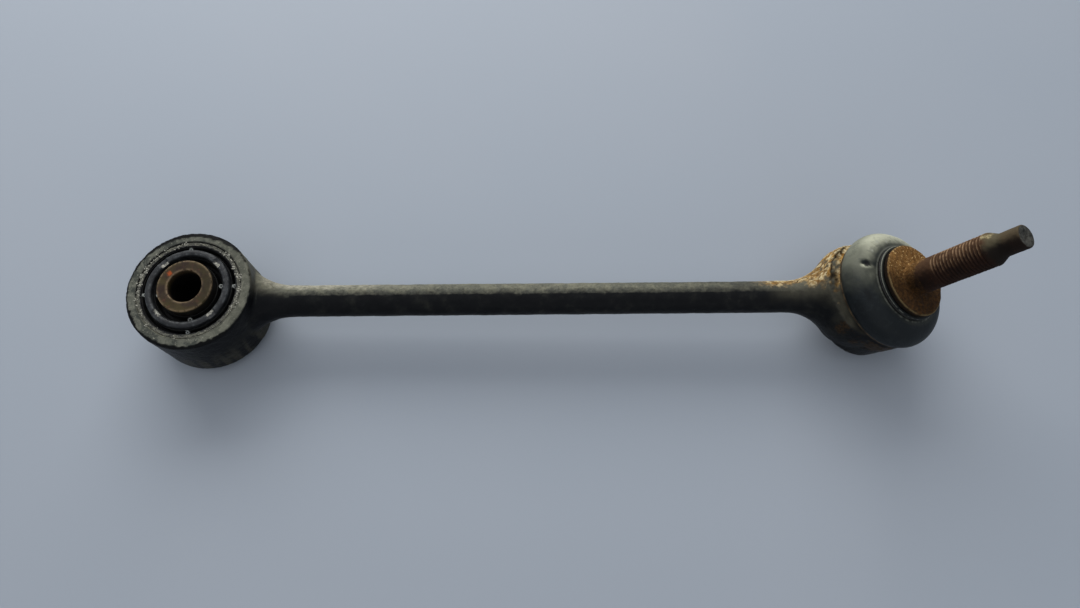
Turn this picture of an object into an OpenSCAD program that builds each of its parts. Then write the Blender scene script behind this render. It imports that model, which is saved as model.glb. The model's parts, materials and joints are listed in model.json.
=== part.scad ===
// Stabilizer link: a forged rod with a rubber-bushed eye at one end
// and a sealed ball joint, leaning outward, at the other.
// Origin: centre of the bush's bore. +Z: bore axis. +X: along the rod to the ball joint.

/* [Link] */
// Distance along the rod from the eye's axis to the ball's centre
eye_to_ball = 255.5; // [180:0.5:380]
// Diameter of the rod
rod_d = 12; // [10:0.5:15]
// Outward lean of the ball joint's axis from the bore axis, in degrees
joint_lean = 27; // [18:1:34]
// Radius of the flare from the rod to the eye
eye_flare_r = 24; // [12:1:34]
// Radius of the hollow curve from the rod to the joint housing
joint_flare_r = 18; // [12:1:26]
// Steepest angle of the flare to the joint housing, from the rod's axis, in degrees
joint_flare_angle = 54; // [42:1:60]

/* [Bush] */
// Bore of the inner sleeve, for a bolt
bore_d = 12.2; // [10:0.1:14.5]
// Length of the inner sleeve
core_len = 34; // [31:0.5:44]
// Wall of the inner sleeve
core_wall = 3.9; // [2.5:0.1:5]
// Chamfer on the ends of the inner sleeve
core_chamfer = 0.5; // [0.2:0.1:1]
// Thickness of the inner rubber layer
inner_rubber_t = 2.7; // [2:0.1:4]
// Length of the inner rubber layer
inner_rubber_len = 25; // [22:0.5:27]
// Thickness of the interleaf ring between the rubber layers
interleaf_t = 2.6; // [1.6:0.1:3.2]
// Length of the interleaf ring
interleaf_len = 30; // [28:0.5:31]
// Rounding of the interleaf ring's end edges
interleaf_edge = 0.7; // [0.3:0.1:0.7]
// Width of the moulding notches in the ends of the interleaf ring
notch_w = 3; // [1.5:0.1:5]
// Depth of the moulding notches
notch_depth = 0.9; // [0.4:0.1:1.5]
// Number of moulding notches in each end
notches = 4; // [2:1:6]
// Thickness of the outer rubber layer
outer_rubber_t = 1.9; // [1.6:0.1:3]
// Depth of the outer rubber's ends below the eye's faces
outer_rubber_inset = 0.8; // [0.5:0.1:2]
// Depth of the grooves in the rubber's end faces
rubber_groove = 4; // [2:0.5:7]
// Rubber left on the metal at the sides of each groove
rubber_skin = 0.35; // [0.2:0.05:0.6]
// Wall of the outer sleeve
outer_sleeve_wall = 1.5; // [0.8:0.1:2]
// Depth of the outer sleeve's ends below the eye's faces
outer_sleeve_inset = 0.4; // [0.1:0.1:1.5]

/* [Eye] */
// Wall of the eye around the bush
eye_wall = 4.1; // [3.5:0.1:6]
// Width of the eye along the bore axis
eye_w = 27; // [25:0.5:28.5]
// Rounding of the eye's outer edges
eye_edge = 0.8; // [0.4:0.1:1.5]

/* [Ball joint housing] */
// Diameter of the ball
ball_d = 20; // [18:0.5:22]
// Wall of the plastic seat around the ball
seat_wall = 2; // [1.5:0.1:3]
// Thickness of the seat under the ball
seat_floor = 1.2; // [0.8:0.1:2]
// Radius of the grease hole in the seat's floor
seat_hole_r = 4; // [2:0.5:6]
// Housing wall around the seat, at the collar
collar_wall = 4.6; // [3:0.1:6]
// Height of the collar above the shoulder
collar_h = 3; // [2.7:0.1:3.6]
// Thickness of the collar's lip over the seat
collar_lip = 1; // [0.8:0.1:1.5]
// Width of the shoulder that the boot's ring sits on
shoulder_w = 4.3; // [3:0.1:5.5]
// Height of the shoulder above the ball's centre
shoulder_h = 3.2; // [2.5:0.1:4]
// Chamfer on the shoulder's edge
shoulder_edge = 0.8; // [0.4:0.1:1.2]
// Taper of the housing: how much smaller its back is than its shoulder, in radius
back_taper = 0.8; // [0.5:0.1:2.5]
// Rounding of the housing's back edge
back_edge = 1.9; // [1.5:0.1:3]
// Thickness of the closing plate
plate_t = 1.5; // [1:0.1:2.5]
// How far the closing plate is wider than the seat, in radius
plate_step = 1.4; // [0.8:0.1:2]
// Radius of the dimple pressed into the closing plate
dimple_r = 7; // [4:0.5:9]
// Depth of that dimple
dimple_depth = 0.5; // [0.2:0.1:0.8]
// Thickness of the lip rolled over the closing plate
roll_t = 0.8; // [0.5:0.1:1.5]
// Overlap of the rolled lip on the closing plate
roll_w = 1.5; // [0.8:0.1:2.5]

/* [Stud] */
// Diameter of the stud's threaded shank
stud_d = 11.8; // [10:0.1:14]
// Length of the full-diameter shank above the flange
shank_len = 30.6; // [24:0.1:45]
// Length of the cone down to the stud's tip
tip_cone = 3.4; // [1.5:0.1:5]
// Diameter of the stud's tip
tip_d = 8.2; // [7:0.1:9.5]
// Length of the stud's tip
tip_len = 7.8; // [3:0.1:10]
// Chamfer on the end of the tip
tip_chamfer = 0.7; // [0.3:0.1:1.2]
// Radius of the shallow hollow in the end of the tip
cup_r = 2.4; // [1:0.1:2.8]
// Depth of that hollow
cup_depth = 0.6; // [0.2:0.1:1]
// Diameter of the stud's neck
neck_d = 10; // [8:0.1:10.6]
// Diameter of the land that the boot's lip grips
land_d = 16; // [15:0.1:17]
// Diameter of the flange
flange_d = 27.2; // [24:0.1:28]
// Thickness of the flange
flange_t = 2; // [1.5:0.1:2.5]
// Height of the flange's face above the ball's centre
flange_h = 18.3; // [17.6:0.1:21]
// Chamfer on the flange's edges
flange_chamfer = 0.4; // [0.2:0.1:0.6]

/* [Boot] */
// How far the boot's belly stands out past the housing's shoulder
boot_belly = 1.2; // [0.5:0.1:2.5]
// Height of the boot's belly above its base
boot_belly_h = 3.1; // [1.5:0.1:4]
// Wall of the boot
boot_wall = 2.2; // [1.6:0.1:3]
// Height of the bead at the boot's top
bead_h = 0.9; // [0.6:0.1:1.5]
// How far the bead stands out past the flange's edge
bead_over = 0.6; // [0.4:0.1:2]
// Diameter of the wire of the boot's upper ring
wire_d = 0.9; // [0.6:0.1:1.2]
// Thickness of the boot's lower ring
ring_t = 0.8; // [0.5:0.1:1.2]
// Height of the lower ring's sleeve inside the boot
ring_h = 2.4; // [1.8:0.1:2.6]
// How far the lower ring's edge stands out past the shoulder
ring_over = 0.2; // [0:0.1:0.5]

/* [Clearances] */
// Radial clearance of pieces that turn on each other
run_gap = 0.05; // [0.02:0.01:0.09]
// Clearance between flat faces that slide past each other
face_gap = 0.1; // [0.05:0.01:0.2]
// Room that the collar's opening leaves around the ball
mouth_gap = 0.15; // [0.1:0.05:0.4]

/* [Hidden] */
$fn = 96;
// Overlap of cuts and joined shapes
lap = 1;

// Radii of the bush's layers, from the bore outward
bore_r = bore_d / 2;
core_r = bore_r + core_wall;
interleaf_in = core_r + inner_rubber_t;
interleaf_out = interleaf_in + interleaf_t;
sleeve_in = interleaf_out + outer_rubber_t;
sleeve_out = sleeve_in + outer_sleeve_wall;
eye_r = sleeve_out + eye_wall;

// Ball joint, in its own frame: ball's centre at 0, axis up
ball_r = ball_d / 2;
seat_in = ball_r + run_gap;
seat_r = seat_in + seat_wall;
collar_r = seat_r + collar_wall;
shoulder_r = collar_r + shoulder_w;
back_r = shoulder_r - back_taper;
collar_top = shoulder_h + collar_h;
seat_top = collar_top - collar_lip;
seat_bottom = -seat_in - seat_floor;
plate_bottom = seat_bottom - plate_t;
back_h = plate_bottom - roll_t;
plate_r = seat_r + plate_step;
mouth_r = sqrt(pow(seat_in, 2) - pow(seat_top, 2)) + mouth_gap;
mouth_bevel = collar_lip / 2;

// Stud, in the same frame
stud_r = stud_d / 2;
neck_r = neck_d / 2;
land_r = land_d / 2;
tip_r = tip_d / 2;
flange_r = flange_d / 2;
flange_under = flange_h - flange_t;
shank_top = flange_h + shank_len;
tip_base = shank_top + tip_cone;
tip_top = tip_base + tip_len;

// Boot and its rings, in the same frame
ring_base = shoulder_h + face_gap;
ring_in = collar_r + run_gap;
ring_out = shoulder_r + ring_over;
boot_base = ring_base + ring_t + run_gap;
boot_in = ring_in + ring_t + run_gap;
bead_top = flange_under - face_gap;
bead_base = bead_top - bead_h;
bead_r = flange_r + bead_over;
groove_r = bead_r - wire_d;
dome_top = bead_base - wire_d - 2 * run_gap;
belly_c = boot_base + boot_belly_h;
dome_r = dome_top - belly_c;
dome_c = shoulder_r + boot_belly - dome_r;
lip_r = land_r + run_gap;
lip_bottom = dome_top - boot_wall;
land_bottom = lip_bottom - face_gap;

// A fillet of radius f joins a bar of radius bar to a round boss of radius boss:
// distance of the fillet's centre from the boss's centre, along the bar
function flare_start(boss, bar, f) = sqrt(pow(boss + f, 2) - pow(bar + f, 2));

// Where that fillet ends on the boss, along the bar, and how wide the flare is there
function flare_end(boss, bar, f) = flare_start(boss, bar, f) * boss / (boss + f);
function flare_width(boss, bar, f) = (bar + f) * boss / (boss + f);

// Flare to the eye: a hollow arc that runs a little into the eye's side
rod_r = rod_d / 2;
flare_sink = 0.6;
eye_boss = eye_r - flare_sink;
eye_flare_x = flare_end(eye_boss, rod_r, eye_flare_r);
eye_flare_w = flare_width(eye_boss, rod_r, eye_flare_r);
rod_x0 = flare_start(eye_boss, rod_r, eye_flare_r);

// Flare to the housing: a hollow arc, then a bulging one that ends inside the housing
crown_lead = 7.7;
flare_root = 5;
// Angle by which the trims above and below the flare spread from the rod, in degrees
trim_spread = 6;
joint_flare_w = back_r - flare_sink;
crown_r = (joint_flare_w - rod_r) / (1 - cos(joint_flare_angle)) - joint_flare_r;
crown_x = eye_to_ball - crown_lead;
turn_x = crown_x - crown_r * sin(joint_flare_angle);
turn_w = joint_flare_w - crown_r * (1 - cos(joint_flare_angle));
rod_x1 = turn_x - joint_flare_r * sin(joint_flare_angle);

// Turns a shape drawn along +Z to lie along +X
module along_x() {
    rotate([0, 90, 0]) children();
}

// Places a shape of the ball joint's own frame on the link
module at_joint() {
    translate([eye_to_ball, 0, 0]) rotate([0, joint_lean, 0]) children();
}

// Section of a ring whose outer corners, or all corners, are rounded
module rounded_section(r_in, r_out, half, edge, inner_edge = 0) {
    translate([r_in + inner_edge, -half]) square([r_out - edge - r_in - inner_edge, 2 * half]);
    translate([r_in, edge - half]) square([r_out - r_in, 2 * (half - edge)]);
    for (side = [-1, 1]) {
        translate([r_out - edge, side * (half - edge)]) circle(edge);
        if (inner_edge > 0) translate([r_in + edge, side * (half - edge)]) circle(edge);
    }
}

// Section of the rod with its two flares: radius across, distance from the eye upward
module shank_section() {
    wide = max(joint_flare_w, eye_flare_w) + lap;
    end_x = crown_x + flare_root;
    difference() {
        translate([0, eye_flare_x]) square([wide, end_x - eye_flare_x]);
        translate([rod_r, rod_x0]) square([wide, rod_x1 - rod_x0]);
        translate([rod_r + eye_flare_r, rod_x0]) circle(eye_flare_r);
        translate([rod_r + joint_flare_r, rod_x1]) circle(joint_flare_r);
        difference() {
            translate([turn_w, turn_x]) square([wide, end_x + lap - turn_x]);
            translate([joint_flare_w - crown_r, crown_x]) circle(crown_r);
        }
    }
}

// Cuts that keep the flare under the housing's shoulder and above its back
module joint_trim() {
    reach = 2 * shoulder_r;
    top = shoulder_h - shoulder_edge;
    bottom = back_h + roll_t;
    top_slope = tan(joint_lean - trim_spread);
    bottom_slope = tan(joint_lean + trim_spread);
    rotate_extrude() polygon([[0, top], [shoulder_r, top],
        [reach, top - (reach - shoulder_r) * top_slope], [reach, top + reach], [0, top + reach]]);
    rotate_extrude() polygon([[0, bottom], [seat_r, bottom],
        [reach, bottom - (reach - seat_r) * bottom_slope], [reach, bottom - reach],
        [0, bottom - reach]]);
}

// Cuts that keep the flare at the eye inside the eye's width
module eye_trim() {
    for (side = [0, 1]) mirror([0, 0, side])
        translate([0, -eye_r, eye_w / 2 - eye_edge]) cube([2 * eye_r, 2 * eye_r, eye_r]);
}

// Outside of the joint housing: tapered body, rounded back edge, collar for the boot's ring
module housing_section() {
    polygon([[0, back_h], [back_r - back_edge, back_h], [back_r, back_h + back_edge],
        [shoulder_r, shoulder_h - shoulder_edge], [shoulder_r - shoulder_edge, shoulder_h],
        [collar_r, shoulder_h], [collar_r, collar_top], [0, collar_top]]);
    translate([back_r - back_edge, back_h + back_edge]) circle(back_edge);
}

// Inside of the joint housing: opening in the rolled lip, plate pocket, seat pocket and mouth
module pocket_section() {
    polygon([[0, back_h - lap], [plate_r - roll_w, back_h - lap], [plate_r - roll_w, plate_bottom],
        [plate_r, plate_bottom], [plate_r, seat_bottom], [seat_r, seat_bottom],
        [seat_r, seat_top], [mouth_r, seat_top], [mouth_r, collar_top - mouth_bevel],
        [mouth_r + mouth_bevel, collar_top], [mouth_r + mouth_bevel, collar_top + lap],
        [0, collar_top + lap]]);
}

module link_forging() {
    color("#3a3c38") difference() {
        union() {
            rotate_extrude() rounded_section(sleeve_out - lap, eye_r, eye_w / 2, eye_edge);
            difference() {
                along_x() rotate_extrude() shank_section();
                at_joint() joint_trim();
                eye_trim();
            }
            at_joint() rotate_extrude() housing_section();
        }
        cylinder(r = sleeve_out, h = eye_w + 2 * lap, center = true);
        at_joint() rotate_extrude() pocket_section();
    }
}

module bush_outer_sleeve() {
    color("#6b6a60") difference() {
        cylinder(r = sleeve_out, h = eye_w - 2 * outer_sleeve_inset, center = true);
        cylinder(r = sleeve_in, h = eye_w + 2 * lap, center = true);
    }
}

// One rubber layer with a round-bottomed groove in each end
module rubber_layer(r_in, r_out, length) {
    half = length / 2;
    groove_half = (r_out - r_in) / 2 - rubber_skin;
    rotate_extrude() difference() {
        translate([r_in, -half]) square([r_out - r_in, length]);
        for (side = [0, 1]) mirror([0, side])
            translate([(r_in + r_out) / 2, half - rubber_groove + groove_half]) {
                circle(groove_half);
                translate([-groove_half, 0]) square([2 * groove_half, rubber_groove]);
            }
    }
}

module bush_outer_rubber() {
    color("#161616") rubber_layer(interleaf_out + run_gap, sleeve_in, eye_w - 2 * outer_rubber_inset);
}

module bush_interleaf_ring() {
    half = interleaf_len / 2;
    color("#3c3c3a") difference() {
        rotate_extrude()
            rounded_section(interleaf_in, interleaf_out, half, interleaf_edge, interleaf_edge);
        for (i = [0 : notches - 1], side = [-1, 1])
            rotate([0, 0, (i + 0.5) * 360 / notches])
                translate([interleaf_in - lap, -notch_w / 2, side * half - notch_depth])
                    cube([interleaf_t + 2 * lap, notch_w, 2 * notch_depth]);
    }
}

module bush_inner_rubber() {
    color("#121212") rubber_layer(core_r + run_gap, interleaf_in, inner_rubber_len);
}

module bush_inner_sleeve() {
    half = core_len / 2;
    color("#7a5a3a") rotate_extrude() polygon([
        [bore_r + core_chamfer, half], [core_r - core_chamfer, half], [core_r, half - core_chamfer],
        [core_r, core_chamfer - half], [core_r - core_chamfer, -half], [bore_r + core_chamfer, -half],
        [bore_r, core_chamfer - half], [bore_r, half - core_chamfer]]);
}

module ball_seat() {
    color("#e8e4d8") at_joint() difference() {
        translate([0, 0, seat_bottom]) cylinder(r = seat_r, h = seat_top - seat_bottom);
        sphere(seat_in);
        translate([0, 0, seat_bottom - lap]) cylinder(r = seat_hole_r, h = ball_r);
    }
}

module housing_end_plate() {
    color("#55534c") at_joint() translate([0, 0, plate_bottom]) difference() {
        cylinder(r = plate_r, h = plate_t);
        translate([0, 0, -lap]) cylinder(r = dimple_r, h = lap + dimple_depth);
    }
}

module boot_lower_ring() {
    color("#6a4a30") at_joint() rotate_extrude() {
        translate([ring_in, ring_base]) square([ring_out - ring_in, ring_t]);
        translate([ring_in, ring_base]) square([ring_t, ring_h]);
    }
}

// Quarter of the boot's dome above its base, with the given wall radius
module dome_section(radius) {
    intersection() {
        translate([dome_c, belly_c]) circle(radius);
        translate([dome_c - lap, boot_base]) square([2 * dome_r, 2 * dome_r]);
    }
}

// Section of the boot: domed wall, lip on the stud's land, groove for the wire ring, bead
module boot_section() {
    difference() {
        union() {
            translate([lip_r, boot_base]) square([dome_c - lip_r, dome_top - boot_base]);
            dome_section(dome_r);
            translate([lip_r, belly_c]) square([groove_r - lip_r, bead_top - belly_c]);
            translate([lip_r, bead_base]) square([bead_r - lip_r, bead_h]);
        }
        translate([lip_r - lap, boot_base - lap])
            square([dome_c - lip_r + lap, lip_bottom - boot_base + lap]);
        dome_section(dome_r - boot_wall);
        translate([dome_c - lap, boot_base - lap]) square([boot_in - dome_c + lap, ring_h + lap]);
    }
}

module dust_boot() {
    color("#2c2e2d") at_joint() rotate_extrude() boot_section();
}

module boot_upper_ring() {
    wire_r = wire_d / 2;
    color("#4a4844") at_joint() rotate_extrude()
        translate([groove_r + run_gap + wire_r, dome_top + run_gap + wire_r]) circle(wire_r);
}

// Ball, neck, land, flange, shank and tip of the stud
module ball_stud() {
    color("#5d4534") at_joint() {
        sphere(ball_r);
        rotate_extrude() polygon([[0, 0], [neck_r, 0], [neck_r, land_bottom - (land_r - neck_r)],
            [land_r, land_bottom], [land_r, flange_under], [flange_r - flange_chamfer, flange_under],
            [flange_r, flange_under + flange_chamfer], [flange_r, flange_h - flange_chamfer],
            [flange_r - flange_chamfer, flange_h], [stud_r, flange_h], [stud_r, shank_top],
            [tip_r, tip_base], [tip_r, tip_top - tip_chamfer], [tip_r - tip_chamfer, tip_top],
            [cup_r, tip_top], [0, tip_top - cup_depth]]);
    }
}

link_forging();
bush_outer_sleeve();
bush_outer_rubber();
bush_interleaf_ring();
bush_inner_rubber();
bush_inner_sleeve();
ball_seat();
housing_end_plate();
boot_lower_ring();
dust_boot();
boot_upper_ring();
ball_stud();
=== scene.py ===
"""Looks of the stabilizer link: worn paint, rust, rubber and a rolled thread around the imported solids."""
import json
import math
import random

import bmesh
import bpy
import numpy as np
from mathutils import Matrix, Vector, noise


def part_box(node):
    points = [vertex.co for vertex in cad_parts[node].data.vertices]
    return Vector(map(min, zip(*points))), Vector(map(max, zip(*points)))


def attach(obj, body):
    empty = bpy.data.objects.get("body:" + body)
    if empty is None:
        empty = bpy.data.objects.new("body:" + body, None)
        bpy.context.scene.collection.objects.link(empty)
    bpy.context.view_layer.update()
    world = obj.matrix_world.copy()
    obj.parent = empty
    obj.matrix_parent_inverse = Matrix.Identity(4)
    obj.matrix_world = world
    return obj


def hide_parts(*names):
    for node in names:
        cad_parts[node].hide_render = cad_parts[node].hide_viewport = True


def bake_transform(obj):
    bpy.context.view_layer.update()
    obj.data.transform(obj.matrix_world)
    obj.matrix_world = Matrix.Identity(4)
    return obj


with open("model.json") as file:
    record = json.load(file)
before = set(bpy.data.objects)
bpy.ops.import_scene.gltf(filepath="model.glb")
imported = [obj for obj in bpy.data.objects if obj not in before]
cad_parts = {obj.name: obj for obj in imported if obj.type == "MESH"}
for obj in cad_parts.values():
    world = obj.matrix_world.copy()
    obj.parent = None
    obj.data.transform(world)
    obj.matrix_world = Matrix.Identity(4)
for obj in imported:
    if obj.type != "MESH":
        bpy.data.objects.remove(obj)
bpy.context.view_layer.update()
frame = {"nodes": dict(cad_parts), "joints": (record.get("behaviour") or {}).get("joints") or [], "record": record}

MM = 0.001
FULL_TURN = 2 * math.pi

# Photograph's camera: 36 mm sensor, aimed at a point beside the middle of the rod
CAMERA_LENS = 26.667
CAMERA_AIM = Vector((128.23, -1.77, -0.64)) * MM
CAMERA_DISTANCE = 304.2 * MM
CAMERA_ELEVATION = math.radians(70)
CAMERA_ROLL = math.radians(0.5)


def named(kind, name):
    """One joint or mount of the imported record, by name."""
    rows = frame["joints"] if kind == "joint" else frame["record"]["mounts"]
    return next(row for row in rows if row["name"] == name)


def half_height(node):
    """Half length of a bush layer along the bore, in millimetres."""
    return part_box(node)[1].z / MM


def outer_radius(node):
    """Outside radius of a bush layer, in millimetres."""
    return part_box(node)[1].y / MM


# Bush sizes from the frame, in millimetres
BORE_R = named("mount", "bush_bore")["dims"]["r_mm"]
CORE_R = outer_radius("bush_inner_sleeve")
INTERLEAF_IN = outer_radius("bush_inner_rubber")
INTERLEAF_OUT = outer_radius("bush_interleaf_ring")
SLEEVE_IN = outer_radius("bush_outer_rubber")
SLEEVE_OUT = outer_radius("bush_outer_sleeve")
EYE_R = -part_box("link_forging")[0].x / MM
CORE_HALF = half_height("bush_inner_sleeve")
INTERLEAF_HALF = half_height("bush_interleaf_ring")
INNER_RUBBER_HALF = half_height("bush_inner_rubber")
OUTER_RUBBER_HALF = half_height("bush_outer_rubber")
SLEEVE_HALF = half_height("bush_outer_sleeve")
SLEEVE_INSET = 0.4
EYE_HALF = SLEEVE_HALF + SLEEVE_INSET

# Ball joint's own frame: ball's centre at the origin, stud along +Z, +X away from the rod
BALL = Vector(named("joint", "stud_spin")["pos_m"])
STUD_AXIS = Vector(named("joint", "stud_spin")["axis"]).normalized()
SIDE_AXIS = Vector((0, 1, 0))
JOINT_AXES = Matrix((SIDE_AXIS.cross(STUD_AXIS), SIDE_AXIS, STUD_AXIS)).transposed()
JOINT = Matrix.Translation(BALL) @ JOINT_AXES.to_4x4()


def joint_reach(node):
    """Largest radius, lowest and highest point of a node in the ball joint's frame, in millimetres."""
    into_joint = JOINT.inverted()
    points = [into_joint @ v.co / MM for v in frame["nodes"][node].data.vertices]
    return max(p.xy.length for p in points), min(p.z for p in points), max(p.z for p in points)


# Stud sizes, in millimetres
FLANGE_R, BALL_BOTTOM, TIP_TOP = joint_reach("ball_stud")
BALL_R = -BALL_BOTTOM
SHANK = named("mount", "stud_shank")
SHANK_R = SHANK["dims"]["r_mm"]
FLANGE_TOP = (Vector(SHANK["pos_m"]) - BALL).length / MM - SHANK["dims"]["length_mm"] / 2
SHANK_TOP = FLANGE_TOP + SHANK["dims"]["length_mm"]
FLANGE_T = 2.0
TIP_R = 4.1
TIP_CONE = 3.4
CUP_R = 2.4
CUP_DEPTH = 0.6
NECK_R = 5.0
LAND_R = 8.0
LAND_BOTTOM = 12.0
THREAD_PITCH = 1.25
THREAD_DEPTH = 0.62
THREAD_START = FLANGE_TOP + 10.5
THREAD_END = SHANK_TOP - 0.2
THREAD_FADE = 1.2

# Boot sizes, in millimetres
BOOT_R, BOOT_BASE, BEAD_TOP = joint_reach("dust_boot")
WIRE_R, WIRE_BOTTOM, WIRE_TOP = joint_reach("boot_upper_ring")
_, _, RING_TOP = joint_reach("boot_lower_ring")
BOOT_WALL = 2.2
DOME_TOP = WIRE_BOTTOM - 0.05
BEAD_BASE = WIRE_TOP + 0.05
WIRE_D = WIRE_TOP - WIRE_BOTTOM
GROOVE_R = WIRE_R - WIRE_D - 0.05
BEAD_R = GROOVE_R + WIRE_D
BELLY_RISE = 3.1
BELLY_H = BOOT_BASE + BELLY_RISE
DOME_R = DOME_TOP - BELLY_H
DOME_C = BOOT_R - DOME_R


# Meshes

def as_object(name, mesh):
    """A new smooth-shaded object in the scene."""
    mesh.shade_smooth()
    made = bpy.data.objects.new(name, mesh)
    bpy.context.scene.collection.objects.link(made)
    return made


def soften(outline, radius, steps=4):
    """An outline whose corners are rounded: each becomes a short curve that starts radius away from it."""
    points = [Vector(p) for p in outline]
    made = [points[0]]
    for before, corner, after in zip(points, points[1:], points[2:]):
        start = corner + (before - corner).normalized() * min(radius, (before - corner).length / 2)
        end = corner + (after - corner).normalized() * min(radius, (after - corner).length / 2)
        for i in range(steps + 1):
            t = i / steps
            made.append(start.lerp(corner, t).lerp(corner.lerp(end, t), t))
    return made + [points[-1]]


def finely(outline, step):
    """An outline with extra points, so that no stretch is longer than step."""
    made = [Vector(outline[0])]
    for a, b in zip(outline, outline[1:]):
        count = max(1, math.ceil((Vector(b) - Vector(a)).length / step))
        made += [Vector(a).lerp(Vector(b), (i + 1) / count) for i in range(count)]
    return made


def arc(centre, radius, start, end, steps):
    """Points of an arc, angles in degrees."""
    angles = [math.radians(start + (end - start) * i / steps) for i in range(steps + 1)]
    return [(centre[0] + radius * math.cos(a), centre[1] + radius * math.sin(a)) for a in angles]


def lathe_mesh(name, outline, segments, place, shape=None, loop=False):
    """Revolves a (radius, height) outline, in millimetres; shape moves its points before placing."""
    radius, height = np.array([tuple(p) for p in outline]).T
    angle = np.linspace(0, FULL_TURN, segments, endpoint=False)
    r = np.repeat(radius[:, None], segments, axis=1)
    h = np.repeat(height[:, None], segments, axis=1)
    t = np.repeat(angle[None, :], len(radius), axis=0)
    if shape:
        r, h = shape(r, h, t)
    points = np.stack([r * np.cos(t), r * np.sin(t), h], axis=-1).reshape(-1, 3) * MM
    rows = len(radius)
    faces = []
    for i in range(rows if loop else rows - 1):
        for j in range(segments):
            k = (j + 1) % segments
            n = (i + 1) % rows
            faces.append((i * segments + j, i * segments + k, n * segments + k, n * segments + j))
    mesh = bpy.data.meshes.new(name)
    mesh.from_pydata(points.tolist(), [], faces)
    tidy_mesh(mesh)
    mesh.transform(place)
    return mesh


def tidy_mesh(mesh):
    """Joins doubled points, drops flat faces and turns all faces outward."""
    work = bmesh.new()
    work.from_mesh(mesh)
    bmesh.ops.remove_doubles(work, verts=work.verts, dist=1e-7)
    bmesh.ops.dissolve_degenerate(work, edges=work.edges, dist=1e-7)
    bmesh.ops.recalc_face_normals(work, faces=work.faces)
    work.to_mesh(mesh)
    work.free()


def lathe(name, outline, segments=128, place=Matrix.Identity(4), shape=None, loop=False):
    """A revolved piece, in the scene."""
    return as_object(name, lathe_mesh(name, outline, segments, place, shape, loop))


def join(name, meshes):
    """One object of several meshes."""
    work = bmesh.new()
    for mesh in meshes:
        work.from_mesh(mesh)
    made = bpy.data.meshes.new(name)
    work.to_mesh(made)
    work.free()
    return as_object(name, made)


def grain(points, size, octaves=3, seed=0):
    """Fractal noise at points, about -1 to 1, with features of the given size."""
    shift = Vector((seed * 17.3, seed * 5.9, seed * 11.1))
    return np.array([noise.fractal(Vector(p) / size + shift, 1.0, 2.0, octaves) for p in points])


def ring_grain(r, h, t, size, octaves=3, seed=0):
    """The same noise on the points of a revolved piece."""
    points = np.stack([r * np.cos(t), r * np.sin(t), h], axis=-1).reshape(-1, 3)
    return grain(points, size, octaves, seed).reshape(r.shape)


def ease(value, low, high):
    """Smooth step from 0 at low to 1 at high."""
    t = np.clip((value - low) / (high - low), 0, 1)
    return t * t * (3 - 2 * t)


def mark(piece, name, values):
    """Stores one number per point for the piece's material."""
    attribute = piece.data.attributes.new(name, "FLOAT", "POINT")
    attribute.data.foreach_set("value", np.asarray(values, np.float32))


def joint_polar(points):
    """Radius, height and angle of points about the ball joint's axis, all in millimetres and radians."""
    into_joint = np.array(JOINT.inverted())
    local = points @ into_joint[:3, :3].T + into_joint[:3, 3] / MM
    return np.hypot(local[:, 0], local[:, 1]), local[:, 2], np.arctan2(local[:, 1], local[:, 0])


def points_of(piece):
    """Points and normals of a piece, points in millimetres."""
    count = len(piece.data.vertices)
    co = np.zeros(count * 3)
    normal = np.zeros(count * 3)
    piece.data.vertices.foreach_get("co", co)
    piece.data.vertices.foreach_get("normal", normal)
    return co.reshape(-1, 3) / MM, normal.reshape(-1, 3)


# Node materials

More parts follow.
